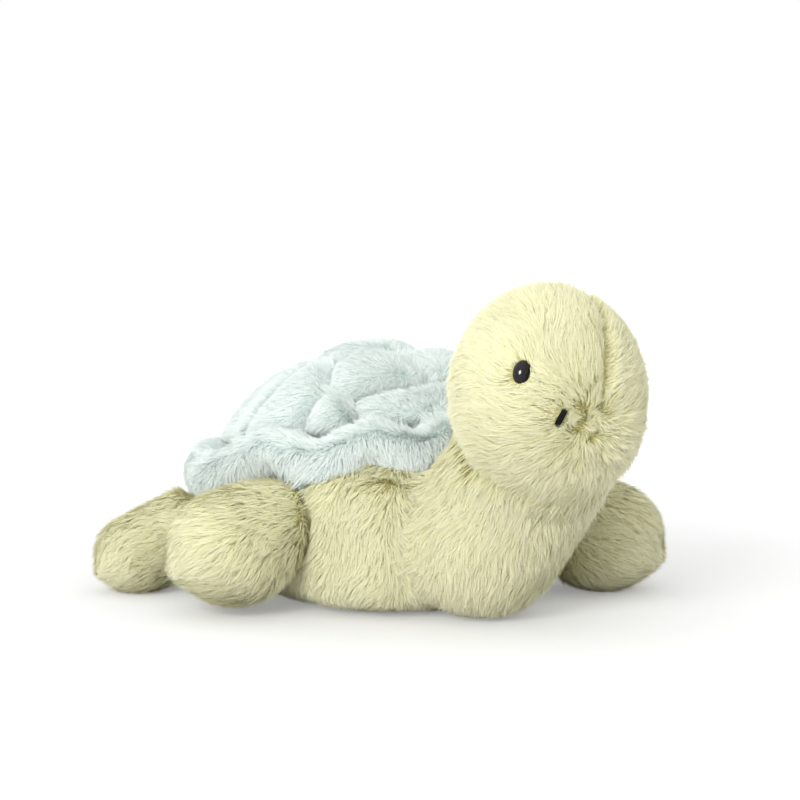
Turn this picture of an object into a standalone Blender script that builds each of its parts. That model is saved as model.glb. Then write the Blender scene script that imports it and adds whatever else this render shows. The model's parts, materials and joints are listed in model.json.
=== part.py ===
"""Plush turtle: a stuffed body under a quilted shell, a neck, a round head and four feet.

The turtle lies on its belly on the plane z = 0. It faces -Y and +X is its left side.
Every stuffed piece is the outer shape of its filled cover, without the pile of the fur.
"""
import math

import bpy
import bmesh
from mathutils import Matrix, Vector

# Clearances
SEAM_GAP = 0.0003        # between two pieces that are sewn together
SWING_GAP = 0.0008       # between a piece that moves and what it moves along
FLOOR_PRESS = 0.0005     # how far a stuffed piece is pressed flat on the floor

# Body
BODY_WIDTH = 0.156
BODY_LENGTH = 0.200
BODY_HEIGHT = 0.078      # at its middle, under the shell
BODY_PLAN_POWER = 3.0    # 2 is an ellipse, more is boxier
BODY_SIDE_POWER = 5.5

# Shell
SHELL_OVERHANG = 0.006   # rim's centre line outside the body's side
SHELL_INSET = 0.010      # rim's centre line inside the body's two ends, before the setback
SHELL_SETBACK = 0.015    # shell's centre behind the body's centre
SHELL_RIM_DROP = 0.009   # rim's centre line below the body's top
SHELL_RISE = 0.0625      # crown above the rim's centre line
SHELL_SLOPE = 0.18       # the shell falls this much per unit of length towards the tail
SCUTE_THICKNESS = 0.011
SCUTE_PUFF = 0.006       # cage above the skin, which the rounding takes back
SCUTE_SEAM = 0.0012      # open crease between two scutes
SCUTE_CORNER_SHARE = 0.7  # how sharp a scute's corners stay in plan

# Rim
RIM_RADIUS = 0.013
RIM_LOBES = 10
RIM_LOBE_CROWDING = 1.5  # radians of a wave by which the lobes crowd to the front and the back
RIM_WAVE_HEIGHT = 0.0055
RIM_WAVE_OUT = 0.002
RIM_PUFF_SHARE = 0.08    # a lobe is this share fatter than the mean roll, a notch thinner

# Neck
CHEST_RADIUS = 0.042
CHEST_INSET = 0.003      # chest's centre behind the body's front end
CHEST_SIDE = 0.003
NECK_RADIUS = 0.037
NECK_RISE = 0.038
NECK_FORWARD = 0.029
NECK_SIDE = 0.013

# Head
HEAD_RADIUS = 0.0462
HEAD_RISE = 0.038
HEAD_FORWARD = 0.011
HEAD_SIDE = -0.002
HEAD_ROLL = 22.0         # degrees, towards its own left
HEAD_NOD = 5.6           # degrees, forward
HEAD_YAW = -2.3          # degrees, towards its own left
JAW_RADIUS = 0.041
JAW_OFFSET = 0.0165
JAW_PITCH = 40.0         # degrees below straight ahead
CHEEK_RADIUS = 0.037
CHEEK_OFFSET = 0.0175
CHEEK_TURN = 38.0        # degrees to each side
CHEEK_PITCH = 42.0
HEAD_BLEND_POWER = 16.0

# Eyes
EYE_WIDTH = 0.0094
EYE_HEIGHT = 0.0126
EYE_BULGE = 0.0050
EYE_SINK = 0.0042        # bead's back below the surface of the head
EYE_TURN = 47.8
EYE_SLANT = 15.0         # degrees by which the top of an eye leans outwards
EYE_SHANK_RADIUS = 0.0018
EYE_SHANK_LENGTH = 0.0125
EYE_WASHER_RADIUS = 0.0065
EYE_WASHER_THICKNESS = 0.0014
EYE_WASHER_DEPTH = 0.0075

# Nostrils
NOSTRIL_LENGTH = 0.0096
NOSTRIL_WIDTH = 0.0032
NOSTRIL_HEIGHT = 0.0024
NOSTRIL_TURN = 19.5
NOSTRIL_PITCH = 13.0
NOSTRIL_SLANT = 4.0

# Feet
FOOT_FLATNESS = 0.88     # height of a foot's ball beside its width
FRONT_FOOT_RADIUS = 0.032
FRONT_ROOT_RADIUS = 0.0235
FRONT_ROOT_DROP = 0.037  # root's centre below the body's top
FRONT_ROOT_HEIGHT = BODY_HEIGHT - FRONT_ROOT_DROP
FRONT_ROOT_ANGLE = 64.0  # degrees round the body from straight ahead
FRONT_RIGHT_LENGTH = 0.0255
FRONT_RIGHT_FLOOR_GAP = 0.0055
FRONT_LEFT_LENGTH = 0.036
REAR_FOOT_RADIUS = 0.0228
REAR_ROOT_RADIUS = 0.024
REAR_ROOT_DROP = 0.041
REAR_ROOT_HEIGHT = BODY_HEIGHT - REAR_ROOT_DROP
REAR_ROOT_ANGLE = 118.0
REAR_LENGTH = 0.0425
# Each foot: its side, where its root sits, the way it points from there in degrees from
# straight ahead, its length from root to ball, its gap to the floor, its sizes, and
# its swing, least and most
FRONT_SIZES = (FRONT_FOOT_RADIUS, FRONT_ROOT_RADIUS, FRONT_ROOT_HEIGHT)
REAR_SIZES = (REAR_FOOT_RADIUS, REAR_ROOT_RADIUS, REAR_ROOT_HEIGHT)
FEET = {
    "front_right_foot": (-1, FRONT_ROOT_ANGLE, 101.0, FRONT_RIGHT_LENGTH, FRONT_RIGHT_FLOOR_GAP, FRONT_SIZES, (-6, 8)),
    "front_left_foot": (1, FRONT_ROOT_ANGLE, 26.0, FRONT_LEFT_LENGTH, -FLOOR_PRESS, FRONT_SIZES, (-6, 12)),
    "rear_right_foot": (-1, REAR_ROOT_ANGLE, 96.0, REAR_LENGTH, -FLOOR_PRESS, REAR_SIZES, (-12, 12)),
    "rear_left_foot": (1, REAR_ROOT_ANGLE, 96.0, REAR_LENGTH, -FLOOR_PRESS, REAR_SIZES, (-12, 12)),
}
NECK_LEAN = (-4, 12)     # degrees about the chest's centre, forward is positive
HEAD_TURN = (-30, 30)    # degrees about the neck's axis

# Corners of each scute as shares of the shell's half width and half length
CROWN_SHARES = [(0, -0.36), (-0.38, -0.20), (-0.38, 0.20), (0, 0.36), (0.38, 0.20), (0.38, -0.20)]
FRONT_SHARES = [(0, -0.36), (0, -0.83), (-0.55, -0.67), (-0.60, -0.52), (-0.38, -0.20)]
SIDE_SHARES = [(-0.38, 0.04), (-0.38, -0.20), (-0.60, -0.52), (-0.84, -0.52), (-0.96, -0.25), (-0.99, 0.04)]
HAUNCH_SHARES = [(-0.38, 0.04), (-0.99, 0.04), (-0.94, 0.31), (-0.77, 0.62), (-0.48, 0.56), (-0.38, 0.20)]
REAR_SHARES = [(0, 0.36), (-0.38, 0.20), (-0.48, 0.56), (0, 0.83)]
SHOULDER_SHARES = [(-0.60, -0.52), (-0.55, -0.67), (-0.55, -0.82), (-0.72, -0.68), (-0.84, -0.52)]
BROW_SHARES = [(0, -0.83), (-0.55, -0.67), (-0.55, -0.82), (-0.29, -0.94), (0, -0.98),
               (0.29, -0.94), (0.55, -0.82), (0.55, -0.67)]
TAIL_SHARES = [(0, 0.83), (-0.48, 0.56), (-0.77, 0.62), (-0.52, 0.84), (-0.27, 0.95), (0, 0.98),
               (0.27, 0.95), (0.52, 0.84), (0.77, 0.62), (0.48, 0.56)]

# Worked out from the sizes above
BODY_CENTRE = Vector((0, 0, BODY_HEIGHT / 2 - FLOOR_PRESS))
SHELL_HALF = Vector((BODY_WIDTH / 2 + SHELL_OVERHANG, BODY_LENGTH / 2 - SHELL_INSET, SHELL_RISE))
SHELL_CENTRE = Vector((0, SHELL_SETBACK, BODY_HEIGHT - SHELL_RIM_DROP))
CHEST_CENTRE = Vector((CHEST_SIDE, CHEST_INSET - BODY_LENGTH / 2, CHEST_RADIUS - FLOOR_PRESS))
NECK_TOP = CHEST_CENTRE + Vector((NECK_SIDE, -NECK_FORWARD, NECK_RISE))
HEAD_CENTRE = NECK_TOP + Vector((HEAD_SIDE, -HEAD_FORWARD, HEAD_RISE))
HEAD_TURN_AXIS = (HEAD_CENTRE - NECK_TOP).normalized()

# Facets
FORM_SEGMENTS = 20
FORM_RINGS = 13
CORE_SEGMENTS = 16
CORE_RINGS = 11
LIMB_SEGMENTS = 14
LIMB_RINGS = 10
RIM_POINTS_PER_LOBE = 5
EYE_STEPS = 16
WASHER_STEPS = 13
STITCH_SEGMENTS = 10
STITCH_RINGS = 6
SWEEP_STEPS = 2

parts = None
cutters = None
materials = {}


def clear_scene():
    for thing in list(bpy.data.objects):
        bpy.data.objects.remove(thing)


def add_collection(name):
    collection = bpy.data.collections.new(name)
    bpy.context.scene.collection.children.link(collection)
    return collection


def material(name, colour, roughness):
    """A Principled material, made once for each name."""
    if name not in materials:
        made = bpy.data.materials.new(name)
        made.use_nodes = True
        shader = made.node_tree.nodes["Principled BSDF"]
        shader.inputs["Base Color"].default_value = (*colour, 1)
        shader.inputs["Roughness"].default_value = roughness
        shader.inputs["Metallic"].default_value = 0
        materials[name] = made
    return materials[name]


def green_plush():
    return material("green_plush", (0.78, 0.77, 0.50), 0.95)


def aqua_plush():
    return material("aqua_plush", (0.68, 0.80, 0.76), 0.95)


def black_plastic():
    return material("black_plastic", (0.01, 0.01, 0.01), 0.15)


def black_thread():
    return material("black_thread", (0.02, 0.02, 0.02), 0.7)


def white_plastic():
    return material("white_plastic", (0.85, 0.85, 0.83), 0.45)


def add_object(name, shape, finish=None, location=(0, 0, 0), parent=None, faceted=True):
    """Turn a bmesh or a mesh into an object; without a finish it is a cutter.

    Facets are triangles, so that a piece and a cutter grown from it bend along the same lines.
    """
    if isinstance(shape, bmesh.types.BMesh):
        mesh = bpy.data.meshes.new(name)
        bmesh.ops.recalc_face_normals(shape, faces=shape.faces)
        if faceted:
            bmesh.ops.triangulate(shape, faces=shape.faces)
        shape.to_mesh(mesh)
        shape.free()
    else:
        mesh = shape
    made = bpy.data.objects.new(name, mesh)
    made.location = location
    made.parent = parent
    if finish is None:
        made.hide_render = True
        made.display_type = "WIRE"
        cutters.objects.link(made)
    else:
        mesh.materials.clear()
        mesh.materials.append(finish)
        mesh.shade_smooth()
        parts.objects.link(made)
    bpy.context.view_layer.update()
    return made


def cut(target, cutter):
    modifier = target.modifiers.new(cutter.name, "BOOLEAN")
    modifier.operation = "DIFFERENCE"
    modifier.object = cutter


def unit_sphere(segments, rings):
    bm = bmesh.new()
    bmesh.ops.create_uvsphere(bm, u_segments=segments, v_segments=rings, radius=1)
    return bm


def press_on_floor(bm, floor):
    """Cut a form flat at the height of the floor and close it."""
    geometry = bm.verts[:] + bm.edges[:] + bm.faces[:]
    cut_edges = bmesh.ops.bisect_plane(bm, geom=geometry, plane_co=(0, 0, floor), plane_no=(0, 0, -1),
                                       clear_outer=True)["geom_cut"]
    bmesh.ops.contextual_create(bm, geom=[item for item in cut_edges if isinstance(item, bmesh.types.BMEdge)])


def world_points(thing, growth):
    """An object's own vertices in world space, moved out along their normals."""
    turn = thing.matrix_world.to_3x3()
    return [thing.matrix_world @ vertex.co + (turn @ vertex.normal).normalized() * growth
            for vertex in thing.data.vertices]


def hull_cutter(name, points):
    bm = bmesh.new()
    verts = [bm.verts.new(point) for point in points]
    hull = bmesh.ops.convex_hull(bm, input=verts)
    spare = {item for item in hull["geom_interior"] + hull["geom_unused"] if isinstance(item, bmesh.types.BMVert)}
    bmesh.ops.delete(bm, geom=list(spare), context="VERTS")
    return add_object(name, bm)


def swept_hull(name, points, pivot, axis, swing):
    """The convex hull of points as they turn about an axis from one end of a swing to the other."""
    low, high = swing
    turned = []
    for step in range(SWEEP_STEPS + 1):
        angle = math.radians(low + (high - low) * step / SWEEP_STEPS)
        turn = Matrix.Rotation(angle, 3, axis)
        turned += [pivot + turn @ (point - pivot) for point in points]
    return hull_cutter(name, turned)


def grown_cutter(name, thing, growth):
    bm = bmesh.new()
    bm.from_mesh(thing.data)
    bm.transform(thing.matrix_world)
    bm.normal_update()
    for vertex in bm.verts:
        vertex.co += vertex.normal * growth
    return add_object(name, bm)


def from_angles(turn, pitch):
    """A direction turned to the left of straight ahead (-Y) and pitched down, in degrees."""
    turn, pitch = math.radians(turn), math.radians(pitch)
    return Vector((math.sin(turn) * math.cos(pitch), -math.cos(turn) * math.cos(pitch), -math.sin(pitch)))


def body_side(angle):
    """Point of the body's plan outline at an angle in degrees to the left of straight ahead."""
    turn = math.radians(angle)
    x, y = math.sin(turn), -math.cos(turn)
    size = (abs(2 * x / BODY_WIDTH) ** BODY_PLAN_POWER + abs(2 * y / BODY_LENGTH) ** BODY_PLAN_POWER)
    reach = size ** (-1 / BODY_PLAN_POWER)
    return Vector((x * reach, y * reach, 0))


def make_body():
    """A flat cushion of a trunk, boxy in plan, whose top slopes down to the tail with the shell."""
    bm = unit_sphere(FORM_SEGMENTS, FORM_RINGS)
    for vertex in bm.verts:
        direction = vertex.co.copy()
        plan = (abs(direction.x) ** BODY_PLAN_POWER + abs(direction.y) ** BODY_PLAN_POWER) ** (1 / BODY_PLAN_POWER)
        size = (plan ** BODY_SIDE_POWER + abs(direction.z) ** BODY_SIDE_POWER) ** (1 / BODY_SIDE_POWER)
        direction /= size
        place = Vector((direction.x * BODY_WIDTH, direction.y * BODY_LENGTH, direction.z * BODY_HEIGHT)) / 2
        slope = SHELL_SLOPE * max(place.y, 0) * (1 + direction.z) / 2
        vertex.co = BODY_CENTRE + place - Vector((0, 0, slope))
    press_on_floor(bm, 0)
    return add_object("body", bm, green_plush())


def shell_point(u, v, depth=0):
    """Point of the shell above plan shares u and v, at a depth under its skin."""
    rise = math.sqrt(max(0, 1 - u * u - v * v))
    half = SHELL_HALF - Vector((depth, depth, depth))
    y = SHELL_CENTRE.y + half.y * v
    return Vector((half.x * u, y, SHELL_CENTRE.z + half.z * rise - SHELL_SLOPE * y))


def make_rim():
    """The padded roll round the shell's edge, which waves up and down and in and out."""
    curve = bpy.data.curves.new("rim_line", "CURVE")
    curve.dimensions = "3D"
    curve.twist_mode = "Z_UP"
    curve.bevel_depth = RIM_RADIUS
    curve.bevel_resolution = 2
    count = RIM_LOBES * RIM_POINTS_PER_LOBE
    spline = curve.splines.new("POLY")
    spline.points.add(count - 1)
    spline.use_cyclic_u = True
    for index, point in enumerate(spline.points):
        angle = 2 * math.pi * index / count
        wave = -math.cos(RIM_LOBES * angle + RIM_LOBE_CROWDING * math.sin(2 * angle))
        out = Vector((math.sin(angle), -math.cos(angle), 0)) * RIM_WAVE_OUT * wave
        place = shell_point(math.sin(angle), -math.cos(angle)) + out
        place.z -= RIM_WAVE_HEIGHT * wave
        point.co = (*place, 1)
        point.radius = 1 + RIM_PUFF_SHARE * wave
    line = bpy.data.objects.new("rim_line", curve)
    bpy.context.scene.collection.objects.link(line)
    bpy.context.view_layer.update()
    mesh = bpy.data.meshes.new_from_object(line.evaluated_get(bpy.context.evaluated_depsgraph_get()))
    bpy.data.objects.remove(line)
    bm = bmesh.new()
    bm.from_mesh(mesh)
    bmesh.ops.remove_doubles(bm, verts=bm.verts, dist=SEAM_GAP)
    return add_object("shell_rim", bm, aqua_plush())


def make_core():
    """The filled backing that the scutes are sewn to: the shell's dome without its scutes."""
    bm = unit_sphere(CORE_SEGMENTS, CORE_RINGS)
    geometry = bm.verts[:] + bm.edges[:] + bm.faces[:]
    bmesh.ops.bisect_plane(bm, geom=geometry, plane_co=(0, 0, 0), plane_no=(0, 0, -1), clear_outer=True)
    for vertex in bm.verts:
        vertex.co = shell_point(vertex.co.x, vertex.co.y, SCUTE_THICKNESS)
    bmesh.ops.contextual_create(bm, geom=[edge for edge in bm.edges if edge.is_boundary])
    return add_object("shell_padding", bm, aqua_plush())


def make_scute(name, shares, mirrored=False):
    """A puffed pocket: a coarse cage on the dome, rounded by subdivision."""
    corners = [Vector((-u if mirrored else u, v)) for u, v in shares]
    middle = sum(corners, Vector((0, 0))) / len(corners)
    size = sum((corner - middle).length for corner in corners) / len(corners) * SHELL_HALF.x
    seam = 1 - SCUTE_SEAM / size
    bm = bmesh.new()
    crease = bm.edges.layers.float.new("crease_edge")
    places = [middle + (corner - middle) * seam for corner in corners]
    lower = [bm.verts.new(shell_point(place.x, place.y, 2 * SCUTE_THICKNESS)) for place in places]
    upper = [bm.verts.new(shell_point(place.x, place.y, -SCUTE_PUFF)) for place in places]
    for index in range(len(corners)):
        following = (index + 1) % len(corners)
        bm.faces.new((lower[index], lower[following], upper[following], upper[index]))
        bm.edges.get((lower[index], upper[index]))[crease] = SCUTE_CORNER_SHARE
        bm.edges.get((lower[index], lower[following]))[crease] = 1
    bm.faces.new(lower)
    bm.faces.new(upper)
    scute = add_object(name, bm, aqua_plush(), faceted=False)
    rounding = scute.modifiers.new("Rounding", "SUBSURF")
    rounding.levels = 2
    rounding.render_levels = 2
    return scute


def make_scutes():
    scutes = [make_scute("scute_crown", CROWN_SHARES), make_scute("scute_brow", BROW_SHARES),
              make_scute("scute_tail", TAIL_SHARES)]
    pairs = {"front": FRONT_SHARES, "side": SIDE_SHARES, "haunch": HAUNCH_SHARES,
             "rear": REAR_SHARES, "shoulder": SHOULDER_SHARES}
    for place, shares in pairs.items():
        scutes.append(make_scute("scute_%s_right" % place, shares))
        scutes.append(make_scute("scute_%s_left" % place, shares, mirrored=True))
    return scutes


def tapered(bm, low, low_radius, high, high_radius):
    """Shape a unit sphere into the smooth taper round two balls."""
    span = high - low
    axis = span.normalized()
    turning_point = (low_radius - high_radius) / span.length
    for vertex in bm.verts:
        direction = vertex.co.normalized()
        if direction.dot(axis) > turning_point:
            vertex.co = high + direction * high_radius
        else:
            vertex.co = low + direction * low_radius


def make_neck():
    """Chest and neck in one: a full ball on the floor that tapers up and forward to the head."""
    bm = unit_sphere(LIMB_SEGMENTS, LIMB_RINGS)
    tapered(bm, Vector(), CHEST_RADIUS, NECK_TOP - CHEST_CENTRE, NECK_RADIUS)
    press_on_floor(bm, -CHEST_CENTRE.z)
    return add_object("neck", bm, green_plush(), CHEST_CENTRE)


def reach(direction, offset, radius):
    """Distance from the head's centre to a ball's skin, along a direction."""
    along = direction.dot(offset)
    return along + math.sqrt(radius * radius - offset.length_squared + along * along)


def head_reach(direction):
    """Distance from the head's centre to its skin: a round skull with a soft jaw and two cheeks."""
    balls = [(Vector(), HEAD_RADIUS), (from_angles(0, JAW_PITCH) * JAW_OFFSET, JAW_RADIUS)]
    balls += [(from_angles(side * CHEEK_TURN, CHEEK_PITCH) * CHEEK_OFFSET, CHEEK_RADIUS) for side in (-1, 1)]
    power = HEAD_BLEND_POWER
    return sum(reach(direction, offset, radius) ** power for offset, radius in balls) ** (1 / power)


def make_head():
    bm = unit_sphere(FORM_SEGMENTS, FORM_RINGS)
    for vertex in bm.verts:
        direction = vertex.co.normalized()
        vertex.co = direction * head_reach(direction)
    head = add_object("head", bm, green_plush(), HEAD_CENTRE)
    head.rotation_euler = [math.radians(angle) for angle in (HEAD_NOD, HEAD_ROLL, HEAD_YAW)]
    bpy.context.view_layer.update()
    return head


def turned(name, profile, steps, finish, parent, place, direction):
    """A turned piece from a profile of radius and height pairs, top first, standing along a direction.

    A profile that doesn't start on the axis is closed into a ring.
    """
    bm = bmesh.new()
    verts = [bm.verts.new((radius, 0, height)) for radius, height in profile]
    for first, second in zip(verts, verts[1:]):
        bm.edges.new((first, second))
    if profile[0][0] > 0:
        bm.edges.new((verts[-1], verts[0]))
    mesh = bpy.data.meshes.new(name)
    bm.to_mesh(mesh)
    bm.free()
    piece = add_object(name, mesh, finish, place, parent)
    piece.rotation_mode = "QUATERNION"
    piece.rotation_quaternion = direction.to_track_quat("Z", "Y")
    screw = piece.modifiers.new("Screw", "SCREW")
    screw.steps = steps
    screw.render_steps = steps
    screw.use_merge_vertices = True
    screw.merge_threshold = SEAM_GAP / 3
    return piece


def eye_profile(growth):
    """Bead with its shank, grown by a clearance: a dome, a flat back and a rounded stem."""
    bead = EYE_HEIGHT / 2 + growth
    arc = [(bead * math.sin(angle), (EYE_BULGE + growth) * math.cos(angle))
           for angle in (math.radians(step * 15) for step in range(7))]
    shank = EYE_SHANK_RADIUS + growth
    end = -EYE_SHANK_LENGTH - growth
    return arc + [(bead, -growth), (shank, -growth), (shank, end), (0, end)] if growth else \
        arc + [(shank, 0), (shank, end), (0, end)]


def washer_profile(growth):
    """Ring that locks the shank inside the head, grown by a clearance into a disc for its hollow."""
    inner = 0 if growth else EYE_SHANK_RADIUS + SEAM_GAP
    outer = EYE_WASHER_RADIUS + growth
    top = growth - EYE_WASHER_DEPTH
    bottom = -EYE_WASHER_DEPTH - EYE_WASHER_THICKNESS - growth
    return [(inner, top), (outer, top), (outer, bottom), (inner, bottom)]


def make_eye(side, head):
    """An oval bead on a shank that goes through the head's cover, and its locking washer."""
    word = "left" if side > 0 else "right"
    direction = from_angles(side * EYE_TURN, 0)
    place = direction * (head_reach(direction) - EYE_SINK)
    oval = (EYE_WIDTH / EYE_HEIGHT, 1, 1)
    eye = turned("eye_" + word, eye_profile(0), EYE_STEPS, black_plastic(), head, place, direction)
    turned("eye_washer_" + word, washer_profile(0), EYE_STEPS, white_plastic(), head, place, direction)
    socket = turned("eye_socket_" + word, eye_profile(SEAM_GAP), EYE_STEPS, None, head, place, direction)
    hollow = turned("washer_hollow_" + word, washer_profile(SEAM_GAP), WASHER_STEPS, None, head, place, direction)
    slant = Matrix.Rotation(math.radians(-side * EYE_SLANT), 3, "Z").to_quaternion()
    eye.rotation_quaternion = socket.rotation_quaternion = eye.rotation_quaternion @ slant
    eye.scale = socket.scale = oval
    cut(head, socket)
    cut(head, hollow)


def make_nostril(side, head):
    """A short slanting bar of black stitches that lies on the muzzle."""
    word = "left" if side > 0 else "right"
    direction = from_angles(side * NOSTRIL_TURN, NOSTRIL_PITCH)
    bm = unit_sphere(STITCH_SEGMENTS, STITCH_RINGS)
    bmesh.ops.scale(bm, verts=bm.verts, vec=(NOSTRIL_WIDTH / 2, NOSTRIL_LENGTH / 2, NOSTRIL_HEIGHT / 2))
    name = "nostril_" + word
    nostril = add_object(name, bm, black_thread(), direction * head_reach(direction), head)
    nostril.rotation_mode = "QUATERNION"
    slant = Matrix.Rotation(math.radians(side * NOSTRIL_SLANT), 3, "Z").to_quaternion()
    nostril.rotation_quaternion = direction.to_track_quat("Z", "Y") @ slant
    bpy.context.view_layer.update()
    return nostril


def make_foot(name):
    """A fat drop with a narrow root under the shell; its origin is on the axis that it swings about."""
    side, root_angle, point_angle, length, lift, (radius, root_radius, root_height), _ = FEET[name]
    ball = from_angles(side * point_angle, 0) * length
    ball.z = radius
    bm = unit_sphere(LIMB_SEGMENTS, LIMB_RINGS)
    tapered(bm, ball, radius, Vector((0, 0, root_height / FOOT_FLATNESS)), root_radius)
    bmesh.ops.scale(bm, verts=bm.verts, vec=(1, 1, FOOT_FLATNESS))
    bmesh.ops.translate(bm, verts=bm.verts, vec=(0, 0, lift))
    if lift < 0:
        press_on_floor(bm, 0)
    return add_object(name, bm, green_plush(), body_side(side * root_angle))


def near(points, place, distance):
    flat = Vector((place.x, place.y, 0))
    return [point for point in points if (Vector((point.x, point.y, 0)) - flat).length < distance]


def main():
    global parts, cutters
    clear_scene()
    parts = add_collection("plush_turtle")
    cutters = add_collection("cutters")

    body = make_body()
    rim = make_rim()
    core = make_core()
    scutes = make_scutes()
    neck = make_neck()
    head = make_head()
    feet = {name: make_foot(name) for name in FEET}

    body_points = world_points(body, SWING_GAP)
    rim_points = world_points(rim, SWING_GAP)
    shell_points = rim_points + world_points(core, SWING_GAP)
    grown_body = grown_cutter("body_cutter", body, SEAM_GAP)
    grown_rim = grown_cutter("rim_cutter", rim, SEAM_GAP)
    grown_core = grown_cutter("core_cutter", core, SEAM_GAP)

    cut(rim, grown_body)
    cut(core, grown_body)
    cut(core, grown_rim)
    for scute in scutes:
        cut(scute, grown_body)
        cut(scute, grown_core)
        cut(scute, grown_rim)

    lean_axis = Vector((1, 0, 0))
    cut(body, swept_hull("neck_sweep", world_points(neck, SWING_GAP), CHEST_CENTRE, lean_axis, NECK_LEAN))
    cut(neck, swept_hull("shell_sweep", shell_points, CHEST_CENTRE, lean_axis, [-angle for angle in NECK_LEAN]))
    cut(neck, swept_hull("head_sweep", world_points(head, SWING_GAP), HEAD_CENTRE, HEAD_TURN_AXIS, HEAD_TURN))

    upright = Vector((0, 0, 1))
    for name, foot in feet.items():
        back_swing = [-angle for angle in FEET[name][-1]]
        cut(foot, swept_hull(name + "_body_sweep", body_points, foot.location, upright, back_swing))
        over = near(rim_points, foot.location, FRONT_FOOT_RADIUS + RIM_RADIUS)
        cut(foot, swept_hull(name + "_rim_sweep", over, foot.location, upright, back_swing))

    nostrils = [make_nostril(side, head) for side in (-1, 1)]
    grown_head = grown_cutter("head_cutter", head, SEAM_GAP)
    for nostril in nostrils:
        cut(nostril, grown_head)
    for side in (-1, 1):
        make_eye(side, head)

    for name, place in (("chest", CHEST_CENTRE), ("head", HEAD_CENTRE), ("turn axis", HEAD_TURN_AXIS)):
        print(name, [round(value, 5) for value in place])
    for name, foot in feet.items():
        print(name, [round(value, 5) for value in foot.location])


main()
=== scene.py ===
# %% [markdown]
# # A plush turtle, as a lesson in stuffed pieces and fur
#
# The real toy is sewn from long-pile plush: a green trunk, neck, head and four feet, and an
# aqua shell of puffed pockets over a padded roll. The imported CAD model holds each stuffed
# piece as a plain closed form. This script keeps those places, rounds each form into a cover
# as cloth over stuffing would be, and grows the pile on it as real mesh, lock by lock.
# Particle hair would be the usual way to make fur in Blender, but it is lost on export, so
# the hairs here are small tapered blades, made with arrays.

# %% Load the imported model
import json
import math

import bmesh
import bpy
import numpy as np
from mathutils import Euler, Matrix, Vector
from mathutils.bvhtree import BVHTree
from mathutils.kdtree import KDTree


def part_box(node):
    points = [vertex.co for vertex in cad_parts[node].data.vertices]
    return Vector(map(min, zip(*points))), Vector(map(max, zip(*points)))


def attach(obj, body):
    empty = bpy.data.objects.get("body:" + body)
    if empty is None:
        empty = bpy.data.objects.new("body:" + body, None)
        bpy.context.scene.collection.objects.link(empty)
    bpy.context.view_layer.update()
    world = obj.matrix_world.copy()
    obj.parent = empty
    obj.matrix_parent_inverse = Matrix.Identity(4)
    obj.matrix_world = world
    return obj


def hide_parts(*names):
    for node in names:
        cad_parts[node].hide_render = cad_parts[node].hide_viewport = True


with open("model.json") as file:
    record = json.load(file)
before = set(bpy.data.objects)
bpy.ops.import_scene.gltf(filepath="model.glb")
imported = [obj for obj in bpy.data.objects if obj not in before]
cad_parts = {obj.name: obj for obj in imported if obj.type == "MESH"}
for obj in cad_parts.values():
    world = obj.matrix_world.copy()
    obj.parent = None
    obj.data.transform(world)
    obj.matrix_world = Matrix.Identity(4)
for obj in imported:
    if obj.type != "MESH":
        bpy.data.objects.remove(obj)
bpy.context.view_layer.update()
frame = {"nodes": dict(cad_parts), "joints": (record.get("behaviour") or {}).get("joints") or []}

# %% [markdown]
# ## Sizes
#
# All lengths are in metres, in the frame of the CAD model: the turtle faces -Y, +X is its
# left side and +Z is up. Places that the CAD model already has are read from its joints and
# nodes.

# %% Sizes
MM = 0.001
joints = {joint["name"]: joint for joint in frame["joints"]}
HEAD_CENTRE = Vector(joints["head_turn"]["pos_m"])
HEAD_NOD, HEAD_ROLL, HEAD_YAW = 5.6, 22.0, -2.3      # degrees, as in the CAD model
HEAD_TURNED = Euler([math.radians(angle) for angle in (HEAD_NOD, HEAD_ROLL, HEAD_YAW)])
SHELL_MIDDLE = Vector((0, 0.015, 0.06))

# %% [markdown]
# ## The camera
#
# The photograph was taken from a low stand to the turtle's right, with a long lens. The
# camera's place and lens were worked out from the width and height of the real pieces.

# %% Camera
CAMERA_AIM = Vector((0.00868, -0.00501, 0.09762))
CAMERA_TURN = math.radians(-30)
CAMERA_LIFT = math.radians(6.5)
CAMERA_DISTANCE = 1.2
CAMERA_LENS, CAMERA_SENSOR = 102.6, 36      # millimetres
camera = bpy.data.objects.new("camera", bpy.data.cameras.new("camera"))
bpy.context.scene.collection.objects.link(camera)
towards_camera = Vector((math.sin(CAMERA_TURN) * math.cos(CAMERA_LIFT),
                         -math.cos(CAMERA_TURN) * math.cos(CAMERA_LIFT), math.sin(CAMERA_LIFT)))
camera.location = CAMERA_AIM + towards_camera * CAMERA_DISTANCE
camera.rotation_euler = towards_camera.to_track_quat("Z", "Y").to_euler()
camera.data.lens = CAMERA_LENS
camera.data.sensor_width = CAMERA_SENSOR
camera.data.clip_end = 50
bpy.context.scene.camera = camera
bpy.context.scene.view_settings.view_transform = "Standard"
print("camera at", tuple(round(value, 3) for value in camera.location))

# %% [markdown]
# ## Shader helpers
#
# Every material is a small node tree. These helpers add a node with its values in one line,
# and make a shared effect as a group with named sockets.

# %% Shader helpers
def add_node(tree, kind, **values):
    """Add a node; names of its properties are set, and other names are its inputs."""
    node = tree.nodes.new(kind)
    for name, value in values.items():
        if hasattr(node, name):
            setattr(node, name, value)
        else:
            node.inputs[name.replace("_", " ")].default_value = value
    return node


def link(tree, *ends):
    tree.links.new(*ends)


def new_group(name, inputs, outputs):
    """A shader node group whose sockets are (name, kind, default) and (name, kind)."""
    group = bpy.data.node_groups.new(name, "ShaderNodeTree")
    for label, kind, default in inputs:
        socket = group.interface.new_socket(label, in_out="INPUT", socket_type="NodeSocket" + kind)
        socket.default_value = default
    for label, kind in outputs:
        group.interface.new_socket(label, in_out="OUTPUT", socket_type="NodeSocket" + kind)
    return group, group.nodes.new("NodeGroupInput"), group.nodes.new("NodeGroupOutput")


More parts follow.
